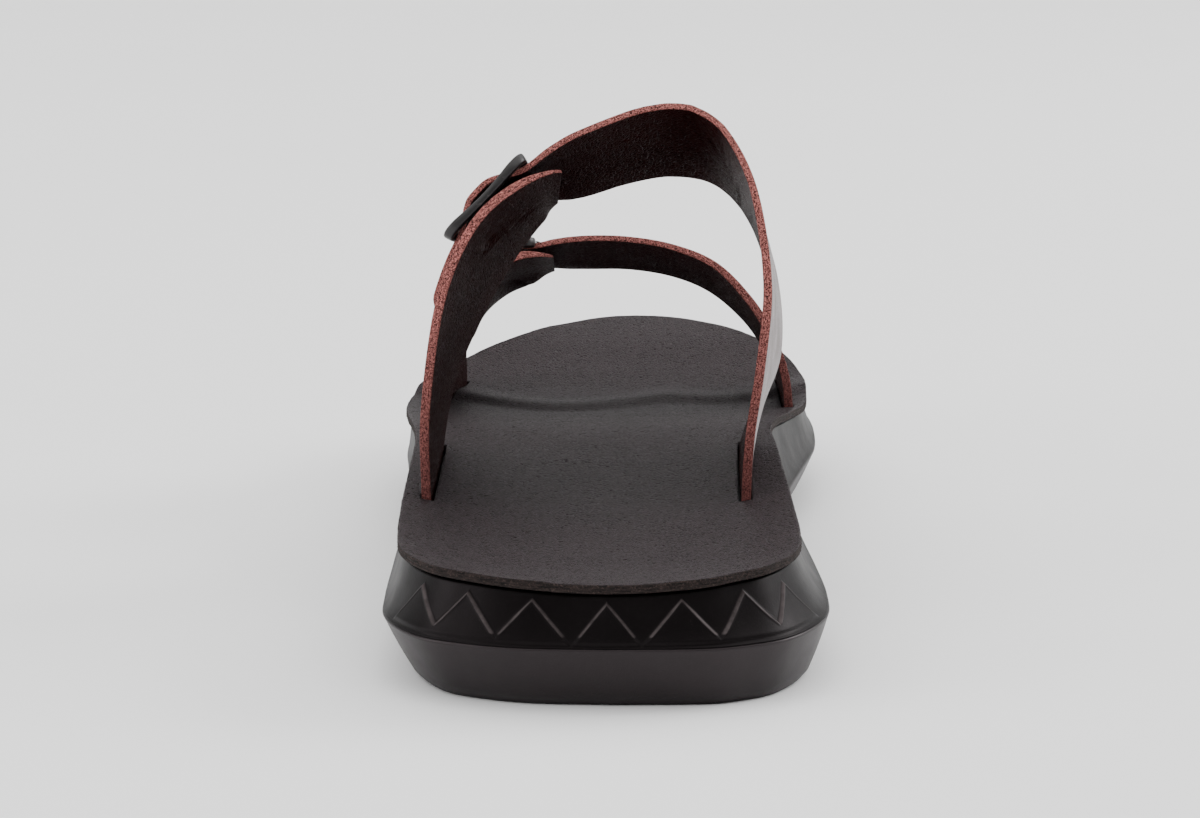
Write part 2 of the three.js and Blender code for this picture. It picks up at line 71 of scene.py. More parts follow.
# Share of the toe spring that the ridge follows, and the middle line of the caps at the
# heel and at the toe, as shares of HALF_WIDTH
RIDGE_SPRING = 0.9
CAP_MIDDLE_HEEL = -0.03
CAP_MIDDLE_TOE = 0.08

# Foot bed: the bar under the toes with its fall to the rear and to the front, the power of the
# cup's rise to the edges, and the least half width that the rise is drawn for, as a share
TOE_BAR_RISE = 1.3
TOE_BAR_REAR = 8.0
TOE_BAR_FRONT = 18.0
CUP_POWER = 2.6
LEAST_HALF = 0.3

# Raised triangles round the heel: rise, height of the foot corners as a share of the wall's,
# half width, spacing, the soft step at their sides, the thin bead along it (lighter in colour as a
# painted highlight), and the wall height that they are drawn for
TRIANGLE_RISE = 0.55
TRIANGLE_FOOT = 0.2
TRIANGLE_HALF = 6.2
TRIANGLE_PITCH = 13.4
TRIANGLE_BEVEL = 0.5
BEAD_RISE = 0.22
BEAD_HALF = 0.26
WALL_HEIGHT = 10.0

# Hidden and rounded parts of the sole: how far faces run in under the layer above, the round
# lower edge and the slight belly of the outsole's wall, the softened foot of the midsole's wall
JOINT_IN = 3.0
TOP_IN = 6.0
BASE_ROUND = 1.1
WALL_BELLY = 0.25
WALL_FOOT_SOFT = 0.14

# Torn fibres of the insole's cut edge: depth, coarse length and fine length
TORN = 0.1
TORN_COARSE = 1.5
TORN_FINE = 0.6

# Buckle: thickness and width of rails and bars, how far the end bars stand off and how much
# deeper they are as a share, how far the tongue bulges over the middle bar, and the prong
RAIL = 1.6
MIDDLE_BAR = 1.1
MIDDLE_BAR_WIDTH = 1.8
END_BAR_WIDTH = 2.5
RAIL_WIDTH = 2.6
FRAME_CORNER = 2.4
REAR_END_LIFT = 2.0
FRONT_END_LIFT = 0.8
END_DEEPER = 0.5
TONGUE_RISE = 1.5
PRONG_WIDTH = 2.4
PRONG = 1.5
PRONG_REACH = 1.8
HOLE_ROOM = 0.85

# Prong's shape, as shares: how deep its root goes below the strap and over which part of its
# length, the drop of its tip and where that starts, how much narrower and thinner it gets
PRONG_ROOT_DIP = 1.5
PRONG_ROOT = 0.12
PRONG_TIP_START = 0.9
PRONG_NARROWS = 0.35
PRONG_NARROWS_FROM = 0.3
PRONG_THINS = 0.25
PRONG_THINS_FROM = 0.8

# Strap halves: the tongue's room beside the rails, rows past the join where it has widened, its
# tapered tip, then the pared and bent end of the outer half, the tongue's level stretch and
# climb over the middle bar, and the round corners of the cut edges
TONGUE_ROOM = 0.8
WIDEN_ROWS = 0.5
TIP_TAPER = 8.0
TIP_LENGTH = 5.5
PARE_DEPTH = 1.3
PARE_LENGTH = 9.0
REAR_END_BEND = 3.2
FRONT_END_BEND = 1.2
END_BEND_LENGTH = 15.0
END_CORNER = 2.6
CLIMB_TOP = 1.3
CLIMB_SHARE = 0.82
EDGE_CORNER = 0.3

# Leather taken off the inner half at the buckle and over the foot, and low on the inner side,
# with the shares of the strap's rows between which it changes and how much less is taken off
# the front edge; then leather taken off the outer half
SKIVED = 0.95
SKIVED_LOW = 0.3
SKIVE_CHANGE = 0.58
SKIVE_CHANGE_SPAN = 0.24
SKIVE_FRONT_LESS = 0.8
SKIVED_OUTER = 0.3

# Soft waves of the leather: depth, length, rows from the slots where they start and the rows
# that they take to grow; then depth and length of the cut edges' fibres
WAVE = 0.22
WAVE_LENGTH = 22.0
WAVE_START = 1.2
WAVE_GROWS = 1.5
FIBRE = 0.1
FIBRE_LENGTH = 1.4

# Grids: points that a table is read at, steps across a strap's face and along each half, points
# round a bar's section with the power that makes it square, and the step along a buckle frame
LOOK_UP_STEPS = 1200
FACE_STEPS = 34
OUTER_STEPS = 150
INNER_STEPS = 280
BAR_STEPS = 20
BAR_POWER = 0.42
FRAME_STEP = 1.2

# Slots for the strap ends: rows of the strap in them, room at the sides and at the faces
SLOT_ROWS = 1.45
SLOT_SIDE = 0.5
SLOT_CLEARANCE = 0.35

# Camera behind the heel: place from the heel on the ground, tilt down, lens for a 36 mm sensor
CAMERA_BACK = 670.0
CAMERA_SIDE = -1.3
CAMERA_UP = 190.0
CAMERA_TILT = 11.0
CAMERA_LENS = 108.54

# Outline of the foot bed, one row per section from heel to toe.
# Columns: share of LENGTH, outer side and inner side as shares of HALF_WIDTH,
# flare of the sole past it on the outer side and the inner side as shares of FLARE.
OUTLINE = np.array([
    [0.009, 0.0, 0.0, 0.4, 0.4],
    [0.015, -0.33, 0.35, 0.5, 0.6],
    [0.03, -0.55, 0.52, 0.6, 0.9],
    [0.053, -0.714, 0.665, 0.7, 1.05],
    [0.1, -0.83, 0.775, 0.7, 1.16],
    [0.162, -0.863, 0.802, 0.56, 1.14],
    [0.245, -0.875, 0.8, 0.42, 1.0],
    [0.336, -0.877, 0.792, 0.36, 0.8],
    [0.437, -0.876, 0.777, 0.3, 0.7],
    [0.51, -0.89, 0.777, 0.2, 0.75],
    [0.617, -0.955, 0.898, 0.0, 0.6],
    [0.69, -0.98, 0.986, 0.0, 0.48],
    [0.758, -0.95, 1.014, 0.1, 0.46],
    [0.809, -0.872, 1.01, 0.25, 0.46],
    [0.852, -0.755, 0.972, 0.4, 0.48],
    [0.888, -0.63, 0.905, 0.5, 0.52],
    [0.921, -0.485, 0.8, 0.55, 0.55],
    [0.957, -0.315, 0.655, 0.6, 0.6],
    [0.985, -0.115, 0.46, 0.6, 0.6],
    [0.9965, 0.03, 0.315, 0.6, 0.6],
    [1.0, 0.17, 0.17, 0.6, 0.6],
])

# Height of the foot bed. Columns: share of LENGTH, middle, rise to the outer edge, rise to
# the inner edge, the last three as shares of BED_HEIGHT.
BED = np.array([
    [0.0, 1.01, 0.0, 0.0],
    [0.04, 0.965, 0.09, 0.09],
    [0.11, 0.9, 0.155, 0.155],
    [0.2, 0.88, 0.165, 0.165],
    [0.33, 0.925, 0.14, 0.15],
    [0.44, 1.005, 0.08, 0.13],
    [0.53, 1.045, 0.04, 0.1],
    [0.61, 1.0, 0.02, 0.05],
    [0.69, 0.935, 0.02, 0.03],
    [0.78, 0.915, 0.04, 0.04],
    [0.85, 1.0, 0.05, 0.05],
    [0.92, 1.13, 0.04, 0.04],
    [1.0, 1.255, 0.0, 0.0],
])

# Line of the bar under the toes. Columns: share of HALF_WIDTH, share of LENGTH.
TOE_BAR = np.array([
    [-1.0, 0.775],
    [-0.68, 0.735],
    [-0.3, 0.68],
    [0.0, 0.69],
    [0.3, 0.732],
    [0.6, 0.722],
    [1.0, 0.77],
])

# Inner face of each strap, one row per station from the outer slot over the foot to the
# inner slot. Columns: x, y, z of the rear edge, then x, y, z of the front edge, as shares
# of HALF_WIDTH, LENGTH and the strap's own top height.
REAR_STRAP = np.array([
    [-0.741, 0.278, 0.143, -0.735, 0.458, 0.143],
    [-0.751, 0.28, 0.257, -0.735, 0.462, 0.257],
    [-0.755, 0.293, 0.415, -0.673, 0.469, 0.4],
    [-0.697, 0.314, 0.617, -0.52, 0.48, 0.557],
    [-0.578, 0.329, 0.755, -0.398, 0.487, 0.652],
    [-0.404, 0.339, 0.844, -0.28, 0.491, 0.723],
    [-0.206, 0.347, 0.897, -0.208, 0.491, 0.748],
    [0.01, 0.354, 0.94, -0.05, 0.491, 0.766],
    [0.202, 0.354, 0.97, 0.125, 0.491, 0.785],
    [0.351, 0.354, 0.971, 0.311, 0.491, 0.796],
    [0.465, 0.343, 0.931, 0.478, 0.491, 0.779],
    [0.563, 0.326, 0.833, 0.605, 0.484, 0.714],
    [0.612, 0.312, 0.665, 0.69, 0.477, 0.6],
    [0.588, 0.302, 0.502, 0.706, 0.469, 0.462],
    [0.542, 0.294, 0.358, 0.628, 0.466, 0.357],
    [0.527, 0.289, 0.248, 0.555, 0.462, 0.25],
    [0.53, 0.289, 0.143, 0.545, 0.462, 0.143],
])
FRONT_STRAP = np.array([
    [-0.822, 0.664, 0.216, -0.704, 0.796, 0.216],
    [-0.827, 0.661, 0.373, -0.698, 0.798, 0.373],
    [-0.816, 0.655, 0.463, -0.698, 0.798, 0.482],
    [-0.8, 0.65, 0.522, -0.66, 0.8, 0.53],
    [-0.724, 0.639, 0.694, -0.6, 0.797, 0.614],
    [-0.582, 0.63, 0.845, -0.48, 0.778, 0.712],
    [-0.418, 0.625, 0.922, -0.357, 0.764, 0.754],
    [-0.251, 0.621, 0.93, -0.251, 0.753, 0.776],
    [-0.061, 0.621, 0.94, -0.061, 0.751, 0.781],
    [0.122, 0.621, 0.935, 0.122, 0.751, 0.775],
    [0.306, 0.621, 0.91, 0.324, 0.751, 0.743],
    [0.48, 0.623, 0.855, 0.5, 0.756, 0.682],
    [0.62, 0.63, 0.751, 0.653, 0.765, 0.579],
    [0.716, 0.641, 0.638, 0.755, 0.782, 0.47],
    [0.792, 0.655, 0.492, 0.806, 0.794, 0.403],
    [0.818, 0.664, 0.366, 0.82, 0.798, 0.343],
    [0.816, 0.664, 0.216, 0.816, 0.798, 0.216],
])

# Raised triangles: a row for the middle one, then one for each pair beside it.
# Columns: way round the outline from the middle of the heel in triangle pitches, half width
# as a share of TRIANGLE_HALF, height of the peak as a share of the wall's.
TRIANGLES = [
    (0.0, 0.85, 0.85),
    (1.08, 1.0, 0.85),
    (2.09, 1.0, 0.83),
    (3.0, 1.0, 0.78),
]

# Dents, creases and bends of the leather, by strap. Columns: half that has it, station, share
# across, half length mm, half width mm, depth mm, turn from lengthways in degrees.
REAR_CREASES = [
    ("outer", 4.3, 0.46, 6.5, 1.5, -0.9, 22.0),
    ("outer", 4.62, 0.56, 5.0, 1.7, 0.95, 22.0),
    ("outer", 3.97, 0.36, 2.4, 1.6, 0.7, 0.0),
    ("outer", 3.85, 0.3, 3.6, 0.9, -0.5, 80.0),
    ("inner", 6.5, 1.0, 12.0, 15.0, -1.1, 0.0),
    ("inner", 9.25, 0.22, 9.0, 0.8, 0.3, 75.0),
    ("inner", 9.65, 0.3, 8.0, 0.7, 0.28, 65.0),
    ("inner", 9.95, 0.26, 9.0, 0.7, 0.32, 80.0),
    ("inner", 10.3, 0.5, 8.0, 0.6, 0.28, 85.0),
    ("inner", 10.6, 0.68, 10.0, 0.8, 0.3, 85.0),
    ("inner", 11.1, 0.6, 12.0, 0.9, 0.22, 88.0),
    ("inner", 7.2, 0.6, 12.0, 2.5, 0.25, 30.0),
    ("inner", 6.22, 0.79, 6.0, 1.2, 0.35, 70.0),
]
FRONT_CREASES = [
    ("outer", 4.8, 0.5, 8.0, 1.5, 0.3, 60.0),
    ("outer", 5.54, 0.82, 6.0, 0.9, 0.4, 75.0),
    ("outer", 5.3, 1.0, 9.0, 7.0, -0.9, 0.0),
    ("inner", 7.9, 1.0, 16.0, 12.0, -0.9, 0.0),
    ("inner", 9.2, 0.4, 9.0, 1.2, 0.18, 70.0),
    ("inner", 11.0, 0.5, 8.0, 1.0, 0.2, 80.0),
]

# What each strap is made from. The halves join at one station of its table, the tongue's tip and
# the low, middle and top bar of its buckle are at others.
STRAPS = {
    "rear": {
        "table": REAR_STRAP, "top": REAR_STRAP_TOP, "creases": REAR_CREASES, "seed": 3.0,
        "join": 6.0, "tip": 2.8, "low": 3.88, "mid": 4.58, "high": 5.42,
        "end_bend": REAR_END_BEND, "end_lift": REAR_END_LIFT,
    },
    "front": {
        "table": FRONT_STRAP, "top": FRONT_STRAP_TOP, "creases": FRONT_CREASES, "seed": 11.0,
        "join": 7.0, "tip": 3.6, "low": 4.55, "mid": 5.4, "high": 6.32,
        "end_bend": FRONT_END_BEND, "end_lift": FRONT_END_LIFT,
    },
}


def smooth(t):
    c = np.clip(t, 0.0, 1.0)
    return c * c * (3 - 2 * c)


def rows(table, at):
    """Every column of a table at row numbers that may lie between rows or past the ends."""
    at = np.atleast_1d(np.asarray(at, float))
    padded = np.vstack([2 * table[0] - table[1], table, 2 * table[-1] - table[-2]])
    i = np.clip(np.floor(at).astype(int), 0, len(table) - 2)
    t = (at - i)[:, None]
    before, here, after, beyond = (padded[i + k] for k in range(4))
    slope0 = (after - before) / 2
    slope1 = (beyond - here) / 2
    inside = (
        (2 * t**3 - 3 * t**2 + 1) * here + (t**3 - 2 * t**2 + t) * slope0
        + (3 * t**2 - 2 * t**3) * after + (t**3 - t**2) * slope1
    )
    outside = np.where(t < 0, here + (after - here) * t, after + (after - here) * (t - 1))
    return np.where((t < 0) | (t > 1), outside, inside)


def look_up(table):
    """The table on an even fine grid of its first column, for reading by that column."""
    fine = rows(table, np.linspace(0, len(table) - 1, LOOK_UP_STEPS))
    return lambda value: np.stack([np.interp(value, fine[:, 0], c) for c in fine.T[1:]], axis=-1)


outline_by_length = look_up(OUTLINE)
bed_by_length = look_up(BED)
bar_by_width = look_up(TOE_BAR)


def bed_height(x, y):
    """Foot-bed height over any points."""
    share = y / LENGTH
    edge = outline_by_length(share)
    half = HALF_WIDTH * np.maximum(LEAST_HALF, np.abs(np.where(x < 0, edge[..., 0], edge[..., 1])))
    bed = bed_by_length(share)
    rise = np.where(x < 0, bed[..., 1], bed[..., 2])
    cup = rise * np.minimum(1, np.abs(x) / half) ** CUP_POWER
    bar = y - LENGTH * bar_by_width(x / HALF_WIDTH)[..., 0]
    before = smooth(1 + bar / TOE_BAR_REAR)
    after = smooth(1 - bar / TOE_BAR_FRONT)
    return BED_HEIGHT * (bed[..., 0] + cup) + TOE_BAR_RISE * np.where(bar < 0, before, after)


def ground_height(y):
    t = np.maximum(0, (y / LENGTH - SPRING_START) / (1 - SPRING_START))
    return TOE_SPRING * t * t


def ridge_height(y):
    return RIDGE_HEIGHT + ground_height(y) * RIDGE_SPRING


class Loop:
    """Closed outline, anticlockwise from the heel, finer round the heel."""

    def __init__(self, heel_steps, other_steps, heel_rows=5):
        last = len(OUTLINE) - 1
        heel = np.arange(0, heel_rows, 1 / heel_steps)
        side = np.append(np.concatenate([heel, np.arange(heel_rows, last, 1 / other_steps)]), last)
        section = rows(OUTLINE, side)
        inner = section[:, [2, 0, 4]]
        outer = section[::-1][1:-1][:, [1, 0, 3]]
        points = np.vstack([inner, outer]) * [HALF_WIDTH, LENGTH, FLARE]
        self.x, self.y, self.flare = points.T
        ahead = np.roll(points, -1, axis=0) - np.roll(points, 1, axis=0)
        size = np.hypot(ahead[:, 0], ahead[:, 1])
        self.nx = ahead[:, 1] / size
        self.ny = -ahead[:, 0] / size
        step = np.hypot(np.diff(self.x, append=self.x[0]), np.diff(self.y, append=self.y[0]))
        along = np.concatenate([[0], np.cumsum(step)[:-1]])
        self.along = np.where(along > step.sum() / 2, along - step.sum(), along)

    def ring(self, out, height, share=1.0):
        """The outline moved outward, then drawn in toward the middle line by a share."""
        x = self.x + self.nx * out
        y = self.y + self.ny * out
        middle_y = np.clip(y, LENGTH * CAP_STOP, LENGTH * (1 - CAP_STOP))
        lean = (CAP_MIDDLE_TOE - CAP_MIDDLE_HEEL) * middle_y / LENGTH
        middle_x = HALF_WIDTH * (CAP_MIDDLE_HEEL + lean)
        x = middle_x + (x - middle_x) * share
        y = middle_y + (y - middle_y) * share
        return np.stack([x, y, height(x, y)], axis=-1)


def loft_faces(ring_count, size, closed=True):
    i = np.arange(ring_count - 1)[:, None] * size
    j = np.arange(size if closed else size - 1)[None, :]
    k = (j + 1) % size
    quads = np.stack([i + j, i + k, i + size + k, i + size + j], axis=-1)
    return quads.reshape(-1, 4).tolist()


def ladder_faces(size, start, flip):
    """Closes a ring across its middle, from side to side."""
    faces = []
    half = size // 2
    for i in range(half):
        a = (size - i) % size
        b = size - i - 1
        face = [a, i, i + 1, b]
        face = list(dict.fromkeys(face))
        faces.append([start + v for v in (face if flip else face[::-1])])
    return [f for f in faces if len(f) > 2]


def make_piece(
    name, points, faces, materials, picks=None, uv=None, swap=(), wear_and_painted_highlight=None
):
    """Makes one finished piece from millimetre points: it rides on the root body."""
    points = (np.asarray(points).reshape(-1, 3) - [0, LENGTH / 2, 0]) * MM
    mesh = bpy.data.meshes.new(name)
    mesh.from_pydata(points.tolist(), [], faces)
    for m in materials:
        mesh.materials.append(m)
    mesh.polygons.foreach_set("use_smooth", [True] * len(mesh.polygons))
    if picks is not None:
        mesh.polygons.foreach_set("material_index", picks)
    if uv is not None:
        layer = mesh.uv_layers.new(name="leather")
        corners = np.empty(len(mesh.loops), int)
        mesh.loops.foreach_get("vertex_index", corners)
        layer.data.foreach_set("uv", (np.asarray(uv).reshape(-1, 2)[corners] * MM).ravel())
    # Point mask that the rubber reads to paint a highlight on the sole's beads
    if wear_and_painted_highlight is not None:
        layer = mesh.attributes.new("painted_bead_highlight", "FLOAT", "POINT")
        layer.data.foreach_set("value", np.ravel(wear_and_painted_highlight))
    mesh.validate()
    piece = bpy.data.objects.new(name, mesh)
    bpy.context.scene.collection.objects.link(piece)
    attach(piece, "root")
    if swap:
        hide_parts(*swap)
    return piece


def cut(piece, cutters):
    """Cuts bodies out of a piece and keeps the result as its mesh."""
    for cutter in cutters:
        step = piece.modifiers.new("cut", "BOOLEAN")
        step.operation = "DIFFERENCE"
        step.solver = "EXACT"
        step.object = cutter
    graph = bpy.context.evaluated_depsgraph_get()
    result = bpy.data.meshes.new_from_object(piece.evaluated_get(graph))
    piece.modifiers.clear()
    piece.data = result
    for cutter in cutters:
        bpy.data.objects.remove(cutter)


def wobble(x, y, z, scale, seed):
    """Soft noise at each point, from -1 to 1."""
    flat = np.stack(np.broadcast_arrays(x, y, z), axis=-1).reshape(-1, 3) / scale + seed
    values = [noise.noise(Vector(p)) for p in flat.tolist()]
    return np.array(values).reshape(np.broadcast(x, y, z).shape)


# Straps

def strap_place(strap, u, v):
    """Points on a strap's inner face and its outward normals, for grids of station and share."""
    def at(a, b):
        s = rows(strap["table"], np.ravel(a))
        b = np.ravel(b)[:, None]
        size = np.array([HALF_WIDTH, LENGTH, strap["top"]])
        return (s[:, :3] * (1 - b) + s[:, 3:] * b) * size

    u, v = np.broadcast_arrays(u, v)
    step = 0.05
    along = at(u + step, v) - at(u - step, v)
    across = at(u, v + step) - at(u, v - step)
    normal = np.cross(along, across)
    normal /= np.linalg.norm(normal, axis=1)[:, None]
    return at(u, v).reshape(*u.shape, 3), normal.reshape(*u.shape, 3)


def strap_points(strap, u, v, off):
    place, normal = strap_place(strap, u, v)
    return place + normal * np.broadcast_to(off, place.shape[:-1])[..., None]


def strap_scale(strap, station):
    """Millimetres per row along a strap and from edge to edge across it, near a station."""
    u = np.array([station - 0.5, station + 0.5, station, station])
    v = np.array([0.5, 0.5, 0.0, 1.0])
    a, b, c, d = strap_points(strap, u, v, 0.0)
    return np.linalg.norm(b - a), np.linalg.norm(d - c)


def layer_height(strap, u):
    """Height of the inner half over the strap's face: it climbs over the middle bar."""
    mid, high, low = strap["mid"], strap["high"], strap["low"]
    reach = CLIMB_SHARE * np.where(u > mid, high - mid, mid - low)
    level = CLIMB_TOP / strap_scale(strap, mid)[0]
    climb = 1 - smooth(np.maximum(0, np.abs(u - mid) - level) / reach)
    return STRAP + GAP + (MIDDLE_BAR + GAP + TONGUE_RISE) * climb


def tongue_edges(strap, u):
    """Edges of the inner half: narrower from the buckle on, with a tapered tip."""
    per_row, width = strap_scale(strap, strap["high"])
    start = strap["high"] + END_BAR_WIDTH / per_row
    inset = (RAIL_WIDTH + TONGUE_ROOM) / width
    narrow = inset * (1 - smooth((u - start) / (strap["join"] + WIDEN_ROWS - start)))
    per_row, width = strap_scale(strap, strap["tip"])
    taper = TIP_TAPER / width * (1 - smooth((u - strap["tip"]) * per_row / TIP_LENGTH))
    return narrow + taper, 1 - narrow - taper


def outer_half_faces(strap, u, v):
    """Inner face and thickness of the outer half: its end is pared and bends in at the rear."""
    before = (strap["join"] - u) * strap_scale(strap, strap["join"])[0]
    pared = PARE_DEPTH * smooth(1 - before / PARE_LENGTH)
    bend = strap["end_bend"] * (1 - v) * np.clip(1 - before / END_BEND_LENGTH, 0.0, 1.0) ** 2
    return pared + SKIVED_OUTER - bend, STRAP - pared - SKIVED_OUTER


def outer_half_edges(strap, u):
    """Edges of the outer half: its end has round corners."""
    per_row, width = strap_scale(strap, strap["join"])
    into = np.clip(1 - (strap["join"] - u) * per_row / END_CORNER, 0.0, 0.98)
    inset = END_CORNER / width * (1 - np.sqrt(1 - into**2))
    return inset, 1 - inset


def inner_half_faces(strap, u, v):
    """Inner face and thickness of the inner half: the tongue is skived outside, the rest inside."""
    last = len(strap["table"]) - 1
    lower = smooth((u - SKIVE_CHANGE * last) / (SKIVE_CHANGE_SPAN * last))
    over_foot = smooth((u - strap["high"]) / (strap["join"] - strap["high"]))
    skived = SKIVED + (SKIVED_LOW - SKIVED) * lower
    skived = skived * (1 - SKIVE_FRONT_LESS * v * over_foot)
    within = skived * over_foot
    return layer_height(strap, u) + within + 0 * v, STRAP - skived + 0 * v


def crease_depth(strap, half, length_at, u, width, v):
    """Depth of the listed creases at each point of one half of a strap."""
    depth = np.zeros(np.broadcast(u, v).shape)
    for where, station, across, half_long, half_wide, deep, turn in strap["creases"]:
        if where != half:
            continue
        s = length_at(u) - length_at(station)
        w = (v - across) * width
        c = math.cos(math.radians(turn))
        n = math.sin(math.radians(turn))
        long_way = (s * c + w * n) / half_long
        wide_way = (w * c - s * n) / half_wide
        depth = depth + deep * np.exp(-(long_way**2) - wide_way**2)
    return depth


def strap_piece(name, half, strap, start, end, steps, edges, half_faces, swap, materials):
    """One half of a strap as a closed body with rounded cut edges."""
    corner = EDGE_CORNER
    u = np.linspace(start, end, steps)
    rear_line, spine, front_line = (
        strap_points(strap, u, np.full_like(u, across), 0.0) for across in (0.0, 0.5, 1.0)
    )
    lengths = np.concatenate([[0], np.cumsum(np.linalg.norm(np.diff(spine, axis=0), axis=1))])

    def length_at(station):
        return np.interp(station, u, lengths)

    rear, front = edges(u)
    width = np.linalg.norm(front_line - rear_line, axis=1)
    # Section: share across the face, mm past its edge, mm up the full thickness, then 0 for the
    # inner face, 1 for a cut edge and 2 for the outer face
    face = np.linspace(0, 1, FACE_STEPS)
    round_in = [(math.sin(a), 1 - math.cos(a)) for a in (0.4, 0.9, 1.3)]
    section = [(s, 0.0, 0.0, 0) for s in face]
    section += [(1.0, corner * a, corner * b, 1) for a, b in round_in]
    section += [(1.0, corner, STRAP * s, 1) for s in (0.3, 0.45, 0.6, 0.75)]
    section += [(1.0, corner * a, STRAP - corner * b, 1) for a, b in reversed(round_in)]
    section += [(s, 0.0, STRAP, 2) for s in face[::-1]]
    section += [(0.0, -corner * a, STRAP - corner * b, 1) for a, b in round_in]
    section += [(0.0, -corner, STRAP * s, 1) for s in (0.75, 0.6, 0.45, 0.3)]
    section += [(0.0, -corner * a, corner * b, 1) for a, b in reversed(round_in)]
    section = np.array(section)
    share, past, off, kind = section.T
    inset = corner / width[:, None]
    v = (rear[:, None] + inset) + (front - rear)[:, None] * share - 2 * inset * share
    v = v + past / width[:, None]
    grid_u = np.broadcast_to(u[:, None], v.shape)
    low, thick = half_faces(strap, grid_u, np.clip(v, 0.0, 1.0))
    base = low + thick * off / STRAP
    is_edge = kind == 1
    rough = wobble(length_at(grid_u), off * 2.0, v * 40, FIBRE_LENGTH, strap["seed"])
    v = v + np.where(is_edge, FIBRE * rough, 0) / width[:, None]
    last = len(strap["table"]) - 1
    wave = WAVE * wobble(length_at(grid_u), v * width[:, None], 0.0 * v, WAVE_LENGTH, strap["seed"])
    wave = wave * smooth((grid_u - WAVE_START) / WAVE_GROWS)
    wave = wave * smooth((last - WAVE_START - grid_u) / WAVE_GROWS)
    crease = crease_depth(strap, half, length_at, grid_u, width[:, None], v)
    points = strap_points(strap, grid_u, v, base + wave + crease)
    size = len(section)
    faces = loft_faces(steps, size)
    next_kind = np.roll(kind, -1)
    pick = np.where(kind == next_kind, kind, 1)
    picks = np.tile(pick, steps - 1).astype(int).tolist()
    faces.append(list(range(size))[::-1])
    faces.append([(steps - 1) * size + i for i in range(size)])
    picks += [0, 0]
    around = np.concatenate([[0], np.cumsum(np.hypot(np.diff(share * 40 + past), np.diff(off)))])
    uv = np.stack([length_at(grid_u), np.broadcast_to(around, v.shape)], axis=-1)
    return make_piece(name, points, faces, materials, picks, uv, swap)


def strip_cutter(strap, start, end, edges, offs):
    """Plain closed body that follows a strap, for cutting."""
    steps = 7
    u = np.linspace(start, end, steps)[:, None]
    v = np.array([edges[0], 0.5, edges[1], edges[1], 0.5, edges[0]])[None, :]
    off = np.array([offs[0]] * 3 + [offs[1]] * 3)[None, :]
    points = strap_points(strap, u + 0 * v, v + 0 * u, off + 0 * u * v)
    size = v.size
    faces = loft_faces(steps, size)
    faces.append(list(range(size))[::-1])
    faces.append([(steps - 1) * size + i for i in range(size)])
    flat = (points.reshape(-1, 3) - [0, LENGTH / 2, 0]) * MM
    mesh = bpy.data.meshes.new("cutter")
    mesh.from_pydata(flat.tolist(), [], faces)
    cutter = bpy.data.objects.new("cutter", mesh)
    bpy.context.scene.collection.objects.link(cutter)
    cutter.hide_render = True
    return cutter


def slot_cutters(strap):
    last = len(strap["table"]) - 1
    cutters = []
    for start, end, base in ((0, SLOT_ROWS, 0), (last - SLOT_ROWS, last, STRAP + GAP)):
        side = SLOT_SIDE / strap_scale(strap, start)[1]
        faces = (base - SLOT_CLEARANCE, base + STRAP + SLOT_CLEARANCE)
        cutters.append(strip_cutter(strap, start, end, (-side, 1 + side), faces))
    return cutters


def make_straps(name, strap, materials):
    strap_piece(
        f"{name}_strap_outer_half", "outer", strap, 0.0, strap["join"], OUTER_STEPS,
        lambda u: outer_half_edges(strap, u), outer_half_faces, [f"{name}_strap_outer"], materials,
    )
    inner = strap_piece(
        f"{name}_strap_inner_half", "inner", strap, strap["tip"], len(strap["table"]) - 1.0,
        INNER_STEPS, lambda u: tongue_edges(strap, u), inner_half_faces, [f"{name}_strap_inner"],
        materials,
    )
    per_row, width = strap_scale(strap, strap["mid"])
    half = (PRONG_WIDTH / 2 + HOLE_ROOM) / width
    rear = strap["mid"] - (MIDDLE_BAR_WIDTH / 2 + HOLE_ROOM / 2) / per_row
    front = strap["mid"] + (MIDDLE_BAR_WIDTH + 2 * HOLE_ROOM) / per_row
    cut(inner, [strip_cutter(strap, rear, front, (0.5 - half, 0.5 + half), (STRAP / 2, 4 * STRAP))])


# Buckles

def sweep(name, centres, normals, wide, high, closed, materials, swap):
    """Bar with a soft-cornered section along a path. wide and high are half sizes per point."""
    centres = np.asarray(centres)
    if closed:
        tangent = np.roll(centres, -1, axis=0) - np.roll(centres, 1, axis=0)
    else:
        tangent = np.gradient(centres, axis=0)
    tangent /= np.linalg.norm(tangent, axis=1)[:, None]
    side = np.cross(tangent, normals)
    side /= np.linalg.norm(side, axis=1)[:, None]
    up = np.cross(side, tangent)
    angle = np.linspace(0, 2 * math.pi, BAR_STEPS, endpoint=False)
    c = np.sign(np.cos(angle)) * np.abs(np.cos(angle)) ** BAR_POWER
    s = np.sign(np.sin(angle)) * np.abs(np.sin(angle)) ** BAR_POWER
    wide = np.broadcast_to(wide, len(centres))[:, None, None]
    high = np.broadcast_to(high, len(centres))[:, None, None]
    points = (
        centres[:, None, :] + side[:, None, :] * c[None, :, None] * wide
        + up[:, None, :] * s[None, :, None] * high
    )
    count = len(centres)
    size = len(angle)
    faces = loft_faces(count, size)
    if closed:
        tail = (count - 1) * size
        faces += [[tail + j, tail + (j + 1) % size, (j + 1) % size, j] for j in range(size)]
    else:
        faces.append(list(range(size))[::-1])
        faces.append([(count - 1) * size + i for i in range(size)])
    return make_piece(name, points, faces, materials, None, None, swap)


